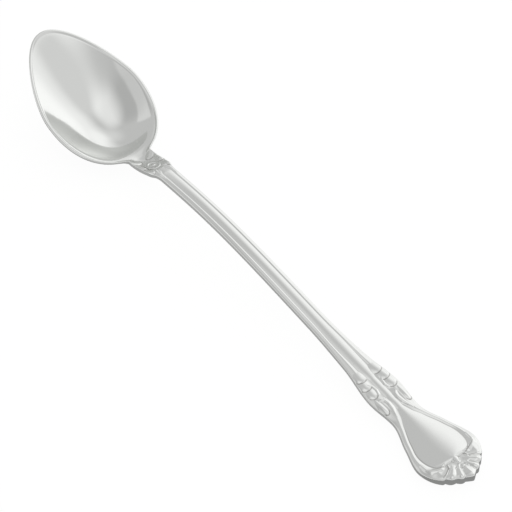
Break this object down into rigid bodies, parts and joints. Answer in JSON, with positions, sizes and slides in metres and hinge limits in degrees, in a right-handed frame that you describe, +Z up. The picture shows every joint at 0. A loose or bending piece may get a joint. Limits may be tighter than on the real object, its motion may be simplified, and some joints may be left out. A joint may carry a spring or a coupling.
{
  "type": "iced tea spoon",
  "caption": "Long-handled spoon with an egg-shaped bowl, threaded stem, scrolled shoulders and a shell end, for stirring tall drinks.",
  "frame": {"origin": "centre of the bounding box, on the surface that the spoon lies on", "axes": "+X along the spoon from the bowl's tip to the handle's end, +Z up out of the bowl"},
  "size_m": [0.19, 0.033, 0.0199],
  "materials": {
    "steel": "mirror-polished stainless steel"
  },
  "bodies": {
    "root": {"bowl": "steel", "neck": "steel", "stem": "steel", "handle": "steel"}
  },
  "joints": []
}
